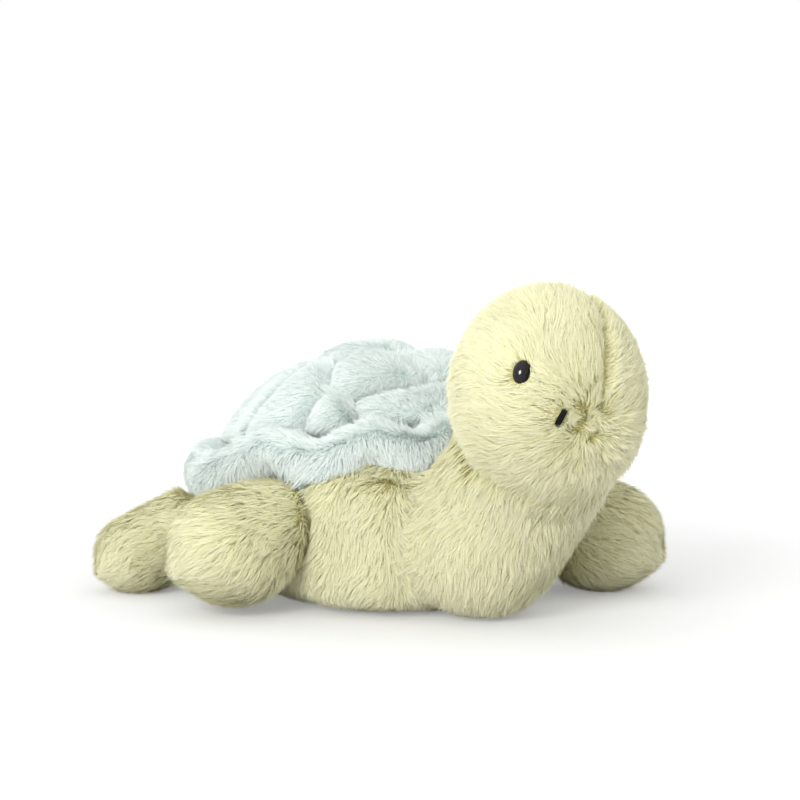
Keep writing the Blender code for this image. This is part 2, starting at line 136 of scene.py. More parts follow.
def new_material(name, **values):
    """A material with one Principled BSDF whose plain sockets take these values."""
    made = bpy.data.materials.new(name)
    made.use_nodes = True
    shader = made.node_tree.nodes["Principled BSDF"]
    for label, value in values.items():
        shader.inputs[label.replace("_", " ")].default_value = value
    return made, made.node_tree, shader


# %% [markdown]
# ## Dye and painted shade along a hair
#
# The colour of a hair is painted deeper and more olive at its root, as painted shade for the
# little light that reaches down into the pile, and pale at its tip, and locks differ a little
# in tone. Each blade of pile carries a UV map: u is its tone from 0 to 1, and v runs from root
# to tip. The colour reads only that map, so a small painted strip would hold the whole pile.

# %% Pile dye and painted root shade group
pile_dye_and_root_shade, dye_and_shade_in, dye_and_shade_out = new_group(
    "pile_dye_and_root_shade",
    [("Root", "Color", (0.4, 0.4, 0.2, 1)), ("Middle", "Color", (0.6, 0.6, 0.4, 1)),
     ("Tip", "Color", (0.8, 0.8, 0.6, 1)), ("Tone spread", "Float", 0.3)],
    [("Colour", "Color"), ("Roughness", "Float")])
hair_map = add_node(pile_dye_and_root_shade, "ShaderNodeUVMap", uv_map="OFBake")
split = add_node(pile_dye_and_root_shade, "ShaderNodeSeparateXYZ")
link(pile_dye_and_root_shade, hair_map.outputs["UV"], split.inputs[0])
low_half = add_node(pile_dye_and_root_shade, "ShaderNodeMapRange", interpolation_type="SMOOTHSTEP")
low_half.inputs["From Max"].default_value = 0.55
high_half = add_node(pile_dye_and_root_shade, "ShaderNodeMapRange", interpolation_type="SMOOTHSTEP")
high_half.inputs["From Min"].default_value = 0.35
for half in (low_half, high_half):
    link(pile_dye_and_root_shade, split.outputs["Y"], half.inputs["Value"])
# From the painted shade at the root up to the middle colour
lower = add_node(pile_dye_and_root_shade, "ShaderNodeMix", data_type="RGBA")
link(pile_dye_and_root_shade, low_half.outputs[0], lower.inputs["Factor"])
link(pile_dye_and_root_shade, dye_and_shade_in.outputs["Root"], lower.inputs["A"])
link(pile_dye_and_root_shade, dye_and_shade_in.outputs["Middle"], lower.inputs["B"])
upper = add_node(pile_dye_and_root_shade, "ShaderNodeMix", data_type="RGBA")
link(pile_dye_and_root_shade, high_half.outputs[0], upper.inputs["Factor"])
link(pile_dye_and_root_shade, lower.outputs["Result"], upper.inputs["A"])
link(pile_dye_and_root_shade, dye_and_shade_in.outputs["Tip"], upper.inputs["B"])
tone = add_node(pile_dye_and_root_shade, "ShaderNodeMath", operation="SUBTRACT")
link(pile_dye_and_root_shade, split.outputs["X"], tone.inputs[0])
tone.inputs[1].default_value = 0.5
spread = add_node(pile_dye_and_root_shade, "ShaderNodeMath", operation="MULTIPLY_ADD")
link(pile_dye_and_root_shade, tone.outputs[0], spread.inputs[0])
link(pile_dye_and_root_shade, dye_and_shade_in.outputs["Tone spread"], spread.inputs[1])
spread.inputs[2].default_value = 1
toned = add_node(pile_dye_and_root_shade, "ShaderNodeMix", data_type="RGBA", blend_type="MULTIPLY")
toned.inputs["Factor"].default_value = 1
link(pile_dye_and_root_shade, upper.outputs["Result"], toned.inputs["A"])
link(pile_dye_and_root_shade, spread.outputs[0], toned.inputs["B"])
link(pile_dye_and_root_shade, toned.outputs["Result"], dye_and_shade_out.inputs["Colour"])
sheen_line = add_node(pile_dye_and_root_shade, "ShaderNodeMapRange")
sheen_line.inputs["To Min"].default_value = 0.95
sheen_line.inputs["To Max"].default_value = 0.72
link(pile_dye_and_root_shade, split.outputs["Y"], sheen_line.inputs["Value"])
link(pile_dye_and_root_shade, sheen_line.outputs[0], dye_and_shade_out.inputs["Roughness"])
print("pile_dye_and_root_shade has", len(pile_dye_and_root_shade.nodes), "nodes")


# %% Pile and backing materials
def pile_material(name, root, middle, tip, tone_spread):
    made, tree, shader = new_material(name, Sheen_Weight=0.12, Sheen_Roughness=0.5, Sheen_Tint=(*tip, 1),
                                      Specular_IOR_Level=0.12)
    group = add_node(tree, "ShaderNodeGroup", node_tree=pile_dye_and_root_shade)
    for label, colour in (("Root", root), ("Middle", middle), ("Tip", tip)):
        group.inputs[label].default_value = (*colour, 1)
    group.inputs["Tone spread"].default_value = tone_spread
    link(tree, group.outputs["Colour"], shader.inputs["Base Color"])
    link(tree, group.outputs["Roughness"], shader.inputs["Roughness"])
    return made


def backing_material(name, pale, deep):
    """The knitted backing that the pile is rooted in: a close rib with a soft mottle."""
    made, tree, shader = new_material(name, Specular_IOR_Level=0.1)
    place = add_node(tree, "ShaderNodeTexCoord")
    mottle = add_node(tree, "ShaderNodeTexNoise", Scale=180.0, Detail=4.0)
    rib = add_node(tree, "ShaderNodeTexVoronoi", Scale=900.0)
    for texture in (mottle, rib):
        link(tree, place.outputs["Object"], texture.inputs["Vector"])
    colour = add_node(tree, "ShaderNodeMix", data_type="RGBA")
    colour.inputs["A"].default_value = (*deep, 1)
    colour.inputs["B"].default_value = (*pale, 1)
    link(tree, mottle.outputs["Fac"], colour.inputs["Factor"])
    link(tree, colour.outputs["Result"], shader.inputs["Base Color"])
    rough = add_node(tree, "ShaderNodeMapRange")
    rough.inputs["To Min"].default_value = 0.8
    link(tree, rib.outputs["Distance"], rough.inputs["Value"])
    link(tree, rough.outputs[0], shader.inputs["Roughness"])
    bump = add_node(tree, "ShaderNodeBump", Strength=0.4, Distance=0.0004)
    link(tree, rib.outputs["Distance"], bump.inputs["Height"])
    link(tree, bump.outputs["Normal"], shader.inputs["Normal"])
    return made


# The root colours, deeper and more olive than the rest, are painted shade down in the pile
green_pile = pile_material("green_pile", root=(0.64, 0.60, 0.25), middle=(0.865, 0.84, 0.50),
                           tip=(0.93, 0.92, 0.69), tone_spread=0.12)
aqua_pile = pile_material("aqua_pile", root=(0.66, 0.76, 0.73), middle=(0.85, 0.925, 0.895),
                          tip=(0.91, 0.97, 0.945), tone_spread=0.06)
green_backing = backing_material("green_backing", pale=(0.70, 0.66, 0.32), deep=(0.60, 0.56, 0.24))
aqua_backing = backing_material("aqua_backing", pale=(0.74, 0.83, 0.80), deep=(0.64, 0.75, 0.72))
print("plush materials", [made.name for made in (green_pile, aqua_pile, green_backing, aqua_backing)])

# %% [markdown]
# ## Covers
#
# A stuffed cover is a soft closed skin. One way is to model it again by hand; another is to
# take the CAD form, which already has the right size, cuts and gaps, remesh it evenly and
# smooth it until its facets and hard edges round off, as cloth does over stuffing. The second
# is used here. The cover is then drawn in by about the height of the lying pile, so that
# cover and pile together reach the size of the form.

# %% Covers
COVER_GRAIN = 2.6 * MM      # edge of the remeshed facets
COVER_INSET = 2.6 * MM      # cover below the CAD form, for the pile to fill
INSET_FADE = 6 * MM         # the inset fades out over this distance to a neighbour, so seams stay shut
all_nodes = frame["nodes"]
print(len(all_nodes), "CAD nodes")


def merged_copy(node, whole):
    """A bmesh of a CAD node with its loose triangles merged; whole closes its hollows."""
    bm = bmesh.new()
    bm.from_mesh(all_nodes[node].data)
    bmesh.ops.remove_doubles(bm, verts=bm.verts, dist=0.01 * MM)
    if whole:
        hull = bmesh.ops.convex_hull(bm, input=bm.verts)
        inside = [item for item in hull["geom_interior"] if isinstance(item, bmesh.types.BMVert)]
        bmesh.ops.delete(bm, geom=inside, context="VERTS")
        loose = [face for face in bm.faces if face not in set(hull["geom"])]
        bmesh.ops.delete(bm, geom=loose, context="FACES")
    return bm


def applied(thing):
    """A new mesh with a thing's modifiers applied."""
    bpy.context.view_layer.update()
    return bpy.data.meshes.new_from_object(thing.evaluated_get(bpy.context.evaluated_depsgraph_get()))


def everything_but(node, left_out=()):
    """The CAD forms of all other stuffed pieces in one search tree."""
    verts, faces = [], []
    for name, thing in all_nodes.items():
        if name == node or name in left_out or "eye" in name or "nostril" in name:
            continue
        start = len(verts)
        verts += [vertex.co[:] for vertex in thing.data.vertices]
        faces += [[start + index for index in face.vertices] for face in thing.data.polygons]
    return BVHTree.FromPolygons(verts, faces)


def soften(bm, rounds, factor):
    for _ in range(rounds):
        bmesh.ops.smooth_vert(bm, verts=bm.verts, factor=factor,
                              use_axis_x=True, use_axis_y=True, use_axis_z=True)
    bm.normal_update()


def stuffed_cover(node, rounds, inset, grain, whole):
    """The cover of a stuffed piece, as a new object with an even, smooth, closed mesh."""
    bm = merged_copy(node, whole)
    rough = bpy.data.meshes.new(node + "_cover")
    bm.to_mesh(rough)
    bm.free()
    cover = bpy.data.objects.new(node + "_cover", rough)
    bpy.context.scene.collection.objects.link(cover)
    remesh = cover.modifiers.new("Remesh", "REMESH")
    remesh.mode = "VOXEL"
    remesh.voxel_size = grain
    cover.data = applied(cover)
    cover.modifiers.clear()
    bm = bmesh.new()
    bm.from_mesh(cover.data)
    soften(bm, rounds, 0.5)
    others = everything_but(node)
    for vertex in bm.verts:
        apart = others.find_nearest(vertex.co)[3]
        vertex.co -= vertex.normal * inset * min(1, apart / INSET_FADE)
    soften(bm, 2, 0.4)
    if bm.calc_volume(signed=True) < 0:
        bmesh.ops.reverse_faces(bm, faces=bm.faces)
    bm.to_mesh(cover.data)
    bm.free()
    cover.data.shade_smooth()
    return cover


# %% [markdown]
# ## Growing the pile
#
# Pile is tens of thousands of hairs. Each one starts on the cover, rises, and bends over in
# the direction the plush was brushed. Hairs gather in small locks that share a tip, and the
# brushing wanders a little from place to place. At a seam the hairs of one piece are laid
# over its neighbour, which hides the seam, as brushing does on a real toy. Under the long
# bent hairs lies a thicket of shorter straight ones, so that no backing shows.

# %% Pile
HAIR_WIDTH = 0.36 * MM
HAIRS_PER_LOCK = 8
LOCK_SPREAD = 0.30, 0.13, (0.82, 1.12)      # spread of the turn and lean of locks, and their lengths
HAIR_SPREAD = 0.18, 0.14, (0.7, 1.1)        # the same for single hairs
LOCK_WIDTH = 0.35           # share of its place in the lock that a hair's tip keeps
KNEE = 0.36                 # height of the point that bends a hair, as a share of its length
FLOOR_ROOM = 0.3 * MM       # hairs end above the floor by this much
LAP = 2.0 * MM              # height at which a hair lies over a neighbour
HIDDEN_FACE = -0.2          # a neighbour's face whose normal is this much against the root's is hidden
STANDING = 0.5              # where the flow along the cover is weaker than this, the pile stands up
BURIED = 0.9 * MM           # a root with less free room than this grows nothing
SHORTEST = 1.2 * MM         # hairs shorter than this, or rooted nearer to the floor, are left out
ROOTED = 0.4 * MM           # hairs start this deep in the cover
SEAM_BRUSHING = 8 * MM      # pile is brushed over a neighbour that is about this near
SWIRLS = 34 * MM, 12 * MM   # sizes of the large and the small wanderings of the brushing
TONE_PATCHES = 40 * MM      # size of patches of slightly different tone
SOFT_SHADING = 0.25         # how far a tip's shading follows the cover
UNDERPILE_LENGTH = 0.72     # length of the hairs under the long ones, as a share of theirs
UNDERPILE_RAISED = 4        # degrees by which they stand up more
WAVES, WAVES_HEIGHT = 7, 2.6    # crossing waves in a wandering, and the sum of them that counts as 1
quick_share = 1.0
hair_total = 0


def wandering(places, wavelength, seed):
    """A smooth random number, mostly from -1 to 1, at each place, that changes over a wavelength."""
    waves = np.random.default_rng(seed)
    total = np.zeros(len(places))
    for _ in range(WAVES):
        direction = waves.normal(size=3)
        direction *= 2 * math.pi / (wavelength * waves.uniform(0.7, 1.5) * np.linalg.norm(direction))
        total += np.sin(places @ direction + waves.uniform(0, 2 * math.pi))
    return total / WAVES_HEIGHT


def unit(vectors):
    return vectors / np.maximum(np.linalg.norm(vectors, axis=1, keepdims=True), 1e-9)


def turned(vectors, axes, angles):
    """Vectors turned by angles about axes that stand square to them."""
    return vectors * np.cos(angles)[:, None] + np.cross(axes, vectors) * np.sin(angles)[:, None]


def spots_on(mesh, per_square_mm, chance):
    """Random places on a mesh, spread evenly by area, with their smooth normals."""
    mesh.calc_loop_triangles()
    count = len(mesh.loop_triangles)
    corners = np.empty(count * 3, np.int64)
    mesh.loop_triangles.foreach_get("vertices", corners)
    corners = corners.reshape(-1, 3)
    points, normals = np.empty(len(mesh.vertices) * 3), np.empty(len(mesh.vertices) * 3)
    mesh.vertices.foreach_get("co", points)
    mesh.vertices.foreach_get("normal", normals)
    points, normals = points.reshape(-1, 3), normals.reshape(-1, 3)
    a, b, c = (points[corners[:, i]] for i in range(3))
    areas = np.linalg.norm(np.cross(b - a, c - a), axis=1) / 2
    wanted = int(areas.sum() / MM ** 2 * per_square_mm * quick_share)
    chosen = chance.choice(count, wanted, p=areas / areas.sum())
    u, v = chance.random(wanted), chance.random(wanted)
    over = u + v > 1
    u[over], v[over] = 1 - u[over], 1 - v[over]
    weights = np.stack([1 - u - v, u, v], 1)[:, :, None]
    places = (points[corners[chosen]] * weights).sum(1)
    return places, unit((normals[corners[chosen]] * weights).sum(1))


def distance_ahead(others, places, ways):
    """How far each place can see in its direction before it meets another piece."""
    far = 40 * MM
    return np.array([others.ray_cast(Vector(p), Vector(w), far)[3] or far for p, w in zip(places, ways)])


def laid_over(others, places, normals, tips):
    """Tips that would end in a neighbour, lifted to lie on it.

    A tip that is nearest to the neighbour's hidden face, the one towards the root, is lifted
    along the root's own normal instead, until it comes out on the neighbour's outer side."""
    reach = tips - places
    lengths = np.linalg.norm(reach, axis=1)
    for index in np.flatnonzero(distance_ahead(others, places, reach) < lengths + LAP):
        tip, up = Vector(tips[index]), Vector(normals[index])
        spot, way, _, _ = others.find_nearest(tip)
        height = (tip - spot).dot(way)
        if height >= LAP:
            continue
        if way.dot(up) < HIDDEN_FACE:
            _, outer_way, _, climb = others.ray_cast(tip, up, lengths[index])
            if outer_way is not None and outer_way.dot(up) > 0:
                tips[index] += np.array(up) * (climb + LAP / 2)
                continue
        tips[index] += np.array(way) * (LAP - height)
    return tips


def blades(name, roots, middles, tips, across, normals, tone, material):
    """One mesh of tapered blades; middles is None for straight ones.

    Light falls on pile as on a soft whole, so the shading normals lean a little from each
    blade's own towards the cover's, and most at its tip."""
    count = len(roots)
    if middles is None:
        rings, along, across_share = [roots, roots, tips], [0, 0, 1], [-1, 1, 0]
        starts, ends = [roots] * 3, [tips] * 3
        faces = [[0, 1, 2]]
    else:
        rings, along = [roots, roots, middles, middles, tips], [0, 0, 0.5, 0.5, 1]
        across_share = [-1, 1, -0.8, 0.8, 0]
        starts, ends = [roots, roots, middles, middles, middles], [middles, middles, tips, tips, tips]
        faces = [[0, 1, 3, 2], [2, 3, 4]]
    size = len(rings)
    shading = []
    for start, end, share in zip(starts, ends, along):
        soft = SOFT_SHADING * (0.4 + 0.6 * share)
        own = unit(np.cross(across, unit(end - start)))
        shading.append(unit(own * (1 - soft) + normals * soft))
    verts = np.stack([ring + across * share for ring, share in zip(rings, across_share)], 1)
    verts[:, :, 2] = np.maximum(verts[:, :, 2], FLOOR_ROOM)
    start = np.arange(count)[:, None] * size
    corners = np.concatenate([start + np.array(face) for face in faces], 1).ravel()
    sizes = np.tile([len(face) for face in faces], count)
    mesh = bpy.data.meshes.new(name)
    mesh.vertices.add(count * size)
    mesh.vertices.foreach_set("co", verts.ravel())
    mesh.loops.add(len(corners))
    mesh.loops.foreach_set("vertex_index", corners)
    mesh.polygons.add(len(sizes))
    mesh.polygons.foreach_set("loop_start", np.concatenate([[0], np.cumsum(sizes)[:-1]]))
    mesh.update(calc_edges=True)
    u = tone[:, None] + np.array(across_share) * 0.01
    v = np.tile(np.array(along, float), (count, 1))
    layer = mesh.uv_layers.new(name="OFBake")
    layer.uv.foreach_set("vector", np.stack([u.ravel(), v.ravel()], 1)[corners].astype(np.float32).ravel())
    mesh.shade_smooth()
    mesh.normals_split_custom_set_from_vertices(np.stack(shading, 1).reshape(-1, 3).tolist())
    mesh.materials.append(material)
    pile = bpy.data.objects.new(name, mesh)
    bpy.context.scene.collection.objects.link(pile)
    return pile


def grow_pile(name, cover, node, material, brushed, length, lean, per_square_mm, width, gathered,
              swirl, keep, apart_from, seed, buried, straight=False):
    """Real-mesh pile on a cover. brushed gives each place's brushing direction, whose length
    up to 1 is how far the hair lies down, and keep the share of its length that a hair has
    there, with a push of its direction. Pile is brushed over the neighbours at its seams, but
    not over those that it stays apart_from. Nothing grows where a hair straight out of the
    cover would meet a neighbour within the buried distance."""
    global hair_total
    chance = np.random.default_rng(seed)
    places, normals = spots_on(cover.data, per_square_mm, chance)
    others = everything_but(node)
    sewn_to = everything_but(node, apart_from)
    room = (distance_ahead(others, places, normals) > buried) & (places[:, 2] > SHORTEST)
    places, normals = places[room], normals[room]
    count = len(places)
    flow = brushed(places)
    strength = np.linalg.norm(flow, axis=1)
    lie = np.minimum(strength, 1)
    flow = flow / np.maximum(strength, 1)[:, None]
    to_seam = np.zeros((count, 3))
    for index, place in enumerate(places):
        spot, _, _, apart = sewn_to.find_nearest(place, 2 * SEAM_BRUSHING)
        if spot is not None and apart > 0:
            to_seam[index] = (np.array(spot) - place) / apart * math.exp(-(apart / SEAM_BRUSHING) ** 2)
    agreement = 0.5 + 0.5 * (unit(flow) * unit(to_seam)).sum(1, keepdims=True)
    flow = flow + 2 * agreement * to_seam
    share = np.ones(count)
    if keep is not None:
        share, push = keep(places)
        flow = flow + push
    flow = flow - normals * (flow * normals).sum(1, keepdims=True)
    lie = lie * (np.linalg.norm(flow, axis=1) / STANDING).clip(0.55, 1)
    flow = unit(flow)
    large, small = (wandering(places, size, seed + extra) for size, extra in zip(SWIRLS, (10, 20)))
    flow = turned(flow, normals, swirl * (large + 0.6 * small))
    # Each hair takes the nearest of a few chosen hairs as the middle of its lock
    middles = chance.choice(count, max(1, count // HAIRS_PER_LOCK), replace=False)
    tree = KDTree(len(middles))
    for index, middle in enumerate(middles):
        tree.insert(places[middle], index)
    tree.balance()
    lock = np.array([tree.find(p)[1] for p in places])

    def tips_of(spots, ways_out, flows, lies, turn, spread, lengths):
        turning = chance.normal(0, turn, len(spots))
        leaning = (math.radians(lean) + chance.normal(0, spread, len(spots))) * lies
        flows = turned(flows, ways_out, turning)
        ways = ways_out * np.cos(leaning)[:, None] + flows * np.sin(leaning)[:, None]
        return spots + ways * (length * chance.uniform(*lengths, len(spots)))[:, None]

    lock_tip = tips_of(places[middles], normals[middles], flow[middles], lie[middles], *LOCK_SPREAD)
    own_tip = tips_of(places, normals, flow, lie, *HAIR_SPREAD)
    gather = gathered * chance.uniform(0.4, 1.2, count)[:, None]
    tips = own_tip * (1 - gather) + (lock_tip[lock] + (places - places[middles][lock]) * LOCK_WIDTH) * gather
    tips = places + (tips - places) * share[:, None]
    tips = laid_over(sewn_to, places, normals, tips)
    lengths = np.linalg.norm(tips - places, axis=1)
    kept = lengths > SHORTEST
    places, normals, tips, lengths, lock = places[kept], normals[kept], tips[kept], lengths[kept], lock[kept]
    count = len(places)
    hair_total += count
    ways = unit(tips - places)
    across = turned(unit(np.cross(ways, normals)), ways, chance.uniform(-0.5, 0.5, count))
    across *= (width / 2 * chance.uniform(0.7, 1.3, count))[:, None]
    bend = places + normals * (KNEE * lengths)[:, None]
    middle = None if straight else 0.25 * places + 0.5 * bend + 0.25 * tips
    roots = places - normals * ROOTED
    tone = 0.5 + chance.normal(0, 0.15, len(middles))[lock] + chance.normal(0, 0.13, count)
    tone = (tone + 0.10 * wandering(places, TONE_PATCHES, seed + 30)).clip(0.02, 0.98)
    return blades(name, roots, middle, tips, across, normals, tone, material)


def finish_stuffed(cover, piles, node, body, backing):
    cover.data.materials.append(backing)
    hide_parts(node)
    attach(cover, body)
    for pile in piles:
        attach(pile, body)
        print(pile.name, len(pile.data.polygons), "faces")


def plush(node, body, slot, brushed, length, lean, seed, rounds=4, inset=COVER_INSET, grain=COVER_GRAIN,
          whole=False, density=(2.3, 2.8), width=HAIR_WIDTH, gathered=0.5, swirl=0.35, keep=None,
          apart_from=(), shape=None, buried=BURIED):
    """A stuffed piece with its cover, its long pile and its under-pile. density is the hairs
    per square millimetre of both, and shape presses the cover into its last form."""
    pile_look, backing = plush_looks[slot]
    cover = stuffed_cover(node, rounds, inset, grain, whole)
    if shape is not None:
        shape(cover)
    long_pile = grow_pile(node + "_pile", cover, node, pile_look, brushed, length, lean, density[0],
                          width, gathered, swirl, keep, apart_from, seed, buried)
    under_pile = grow_pile(node + "_underpile", cover, node, pile_look, brushed, length * UNDERPILE_LENGTH,
                           lean - UNDERPILE_RAISED, density[1], width, gathered * 0.5, swirl, keep,
                           apart_from, seed + 300, buried, straight=True)
    finish_stuffed(cover, [long_pile, under_pile], node, body, backing)


plush_looks = {"green_plush": (green_pile, green_backing), "aqua_plush": (aqua_pile, aqua_backing)}

# %% [markdown]
# ## The head
#
# The head is a full ball, sewn from two halves with a seam over its middle, with jaw and
# cheeks stuffed forward. Its pile is brushed away from the nose on all sides, and down at the
# back and over the neck. The pile parts at the seam, and it is trimmed round the eyes and the
# right nostril, so that these lie in small pits.

# %% Where the head's features are
def in_head(places):
    """Places in the head's own upright frame, from its centre."""
    turn = np.array(HEAD_TURNED.to_matrix())
    return (places - np.array(HEAD_CENTRE)) @ turn


def from_head(turn, pitch):
    """A direction turned to the head's left and pitched down, in degrees, in the world."""
    turn, pitch = math.radians(turn), math.radians(pitch)
    own = Vector((math.sin(turn) * math.cos(pitch), -math.cos(turn) * math.cos(pitch), -math.sin(pitch)))
    return HEAD_TURNED.to_matrix() @ own


EYE_WIDTH, EYE_HEIGHT, EYE_BULGE = 9.4 * MM, 12.6 * MM, 5.0 * MM
EYE_TRIM = {"right": 0.03, "left": 0.7}     # share of its length that pile brushed at a bead has at its edge
EYE_REACH = 12 * MM         # pile deeper than this below a bead's top is on another side of the head
EYE_TURN, EYE_SLANT = 47.8, 15
NOSTRIL_TURN, NOSTRIL_PITCH, NOSTRIL_SLANT = 19.5, 13, 4
NOSE_REACH = 46 * MM        # the nose's distance from the head's centre
MUZZLE = 15 * MM            # size of the muzzle, where the pile lies in whorls
WHORL = 6 * MM              # size of one whorl
head_side, head_up = (np.array(HEAD_TURNED.to_matrix() @ Vector(axis)) for axis in ((1, 0, 0), (0, 0, 1)))
nose = np.array(HEAD_CENTRE + from_head(0, NOSTRIL_PITCH) * NOSE_REACH)
eye_ways = {"right": from_head(-EYE_TURN, 0), "left": from_head(EYE_TURN, 0)}
eye_tops, nostril_middles = {}, {}
for word, way in eye_ways.items():
    corners = all_nodes["eye_" + word].data.vertices
    eye_tops[word] = HEAD_CENTRE + way * max((corner.co - HEAD_CENTRE).dot(way) for corner in corners)
    low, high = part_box("nostril_" + word)
    nostril_middles[word] = (low + high) / 2
print("eyes at", eye_tops, "nostrils at", nostril_middles)

# %% Head
SEAM_DEPTH = 2.2 * MM
SEAM_WIDTH = 1.8 * MM
SEAM_PARTING = 2.4 * MM     # pile nearer to the seam than this parts and is shorter
EYE_EDGE = 1.2 * MM         # pile rooted further than this under a bead is cut away
EYE_TRIMMED, EYE_PARTED = 9 * MM, 8 * MM            # reach of the trimming and of the parting at an eye
NOSTRIL_BARE, NOSTRIL_TRIMMED, NOSTRIL_PARTED = 2.5 * MM, 6 * MM, 5 * MM
NECK_BRUSHING = 11 * MM     # head pile nearer to the neck than this is brushed down over it
BACK_START, BACK_WIDTH = -18 * MM, 36 * MM          # the brushing turns downwards over this part of the head
BACK_BRUSHED = np.array([0, 0.2, -1.0])
# How strongly hairs are pushed, and how much longer or shorter they are, against 1 for plain pile
EYE_PUSH, NOSTRIL_PUSH, NECK_PULL, SEAM_PUSH, WHORL_PUSH = 1.1, 3, 3, 1.8, 0.75
NECK_LONGER, SEAM_SHORTER = 0.7, 0.5


def seam_strength(own):
    """How much of the middle seam shows at places in the head's frame: full on top, none at the nose."""
    return np.clip((own[:, 2] + 3 * MM) / (8 * MM), 0, 1)


def press_seam(cover):
    for vertex in cover.data.vertices:
        own = in_head(np.array([vertex.co]))
        press = SEAM_DEPTH * math.exp(-(own[0, 0] / SEAM_WIDTH) ** 2) * seam_strength(own)[0]
        vertex.co -= vertex.normal * press


def head_brushed(places):
    """Away from the nose, in small whorls on the muzzle, and down the back of the head."""
    away = unit(places - nose)
    muzzle = np.exp(-(np.linalg.norm(places - nose, axis=1) / MUZZLE) ** 2)[:, None]
    whorls = np.stack([wandering(places, WHORL, seed) for seed in (51, 52, 53)], 1)
    behind = np.clip((in_head(places)[:, 1] - BACK_START) / BACK_WIDTH, 0, 1)[:, None] ** 1.5
    forwards = away * (1 - 0.6 * muzzle) * (1 - 0.7 * behind)
    return forwards + whorls * muzzle * WHORL_PUSH + behind * BACK_BRUSHED


neck_form = everything_but("head", [node for node in all_nodes if node != "neck"])


def head_kept(places):
    """Trimmed and parted at the eyes and the nostril, longer at the neck, parted at the seam."""
    own = in_head(places)
    flow = unit(head_brushed(places))
    share, push = np.ones(len(places)), np.zeros((len(places), 3))
    for word, way in eye_ways.items():
        apart = places - np.array(eye_tops[word])
        depth = apart @ np.array(way)
        apart -= np.outer(depth, np.array(way))
        oval = np.outer(apart @ head_up, head_up) * (1 - EYE_WIDTH / EYE_HEIGHT)
        distance = np.linalg.norm(apart - oval, axis=1) + np.maximum(-depth - EYE_REACH, 0)
        towards = (flow * unit(-apart)).sum(1).clip(0, 1)
        room = np.clip(EYE_TRIM[word] + (distance - EYE_WIDTH / 2) / EYE_TRIMMED, 0, 1)
        share *= np.where(distance < EYE_WIDTH / 2 - EYE_EDGE, 0, 1 - (0.25 + 0.75 * towards) * (1 - room))
        push += unit(apart) * (EYE_PUSH * np.exp(-(distance / EYE_PARTED) ** 2))[:, None]
    apart = places - np.array(nostril_middles["right"])
    distance = np.linalg.norm(apart, axis=1)
    share *= np.clip((distance - NOSTRIL_BARE) / NOSTRIL_TRIMMED, 0.08, 1)
    push += unit(apart) * (NOSTRIL_PUSH * np.exp(-(distance / NOSTRIL_PARTED) ** 2))[:, None]
    nearest = [neck_form.find_nearest(place) for place in places]
    to_neck = np.array([spot for spot, _, _, _ in nearest]) - places
    at_neck = np.exp(-(np.linalg.norm(to_neck, axis=1) / NECK_BRUSHING) ** 2)
    share *= 1 + NECK_LONGER * at_neck
    push += unit(to_neck) * (NECK_PULL * at_neck)[:, None]
    near_seam = seam_strength(own) * np.exp(-(own[:, 0] / SEAM_PARTING) ** 2)
    share *= 1 - SEAM_SHORTER * near_seam
    push += np.outer(np.sign(own[:, 0]) * near_seam * SEAM_PUSH, head_side)
    return share, push


plush("head", "head", "green_plush", head_brushed, 9.5 * MM, 66, seed=3, rounds=6, whole=True,
      keep=head_kept, shape=press_seam, density=(2.5, 3.6))

# %% [markdown]
# ## Neck, trunk and feet
#
# The neck and the trunk are brushed down and a little backwards, as a hand strokes them, and
# the feet towards their toes. The neck's cover is drawn up to the head, as it is sewn on.
# Hairs of the trunk that would start close under another piece are left out, because they
# would poke through the notches of the shell's roll.

# %% Neck, trunk and feet
shell_nodes = [node for node in all_nodes if node.startswith(("shell_", "scute_"))]


def one_way(x, y, z):
    return lambda places: np.tile([x, y, z], (len(places), 1))


COLLAR_REACH = 9 * MM       # the neck's cover closes on the head within this distance of it
COLLAR_FADE = 4 * MM
COLLAR_CLOSING = 0.7        # share of the gap that is closed
TRUNK_BURIED = 7 * MM
TOES_DOWN = 0.45            # how far the feet are brushed down, against 1 towards their toes
head_form = everything_but("neck", [node for node in all_nodes if node != "head"])


def close_on_the_head(cover):
    for vertex in cover.data.vertices:
        spot, _, _, apart = head_form.find_nearest(vertex.co)
        if apart < COLLAR_REACH:
            closing = COLLAR_CLOSING * min(1, (COLLAR_REACH - apart) / COLLAR_FADE)
            vertex.co += (spot - vertex.co) * closing


plush("neck", "neck", "green_plush", one_way(-0.15, 0.30, -1.0), 9.5 * MM, 64, seed=4,
      shape=close_on_the_head)
plush("body", "trunk", "green_plush", one_way(-0.1, 0.25, -1.0), 9.0 * MM, 58, seed=5, grain=3 * MM,
      apart_from=shell_nodes, buried=TRUNK_BURIED)
for number, foot in enumerate(["front_right_foot", "front_left_foot", "rear_right_foot", "rear_left_foot"]):
    low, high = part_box(foot)
    to_toes = (low + high) / 2 - Vector(joints[foot + "_swing"]["pos_m"])
    to_toes.z = 0
    to_toes.normalize()
    plush(foot, foot, "green_plush", one_way(to_toes.x, to_toes.y, -TOES_DOWN), 9.0 * MM, 64,
          seed=20 + number, inset=1.4 * MM, apart_from=shell_nodes)


# %% [markdown]
# ## The shell
#
# Each pocket is a small cushion sewn down at its edge, so its crown is full and its edge
# draws into a crease. Its pile runs to the tail. The roll round the edge waves up and down.
# Its pile hangs down below a line on the roll's upper side, and above that line it runs to
# the tail as well. Shell pile is shorter and silkier than the green one. The padding has pile
# too, which stands up and shows only in the creases between the pockets.

# %% Shell pockets
def back_and_aside(places):
    """Shell pockets are cut so that their pile runs to the tail, and a little to each side."""
    aside = 0.6 * np.clip(places[:, 0] / (20 * MM), -1, 1)
    return np.stack([aside, np.full(len(places), 0.8), np.full(len(places), -0.2)], 1)


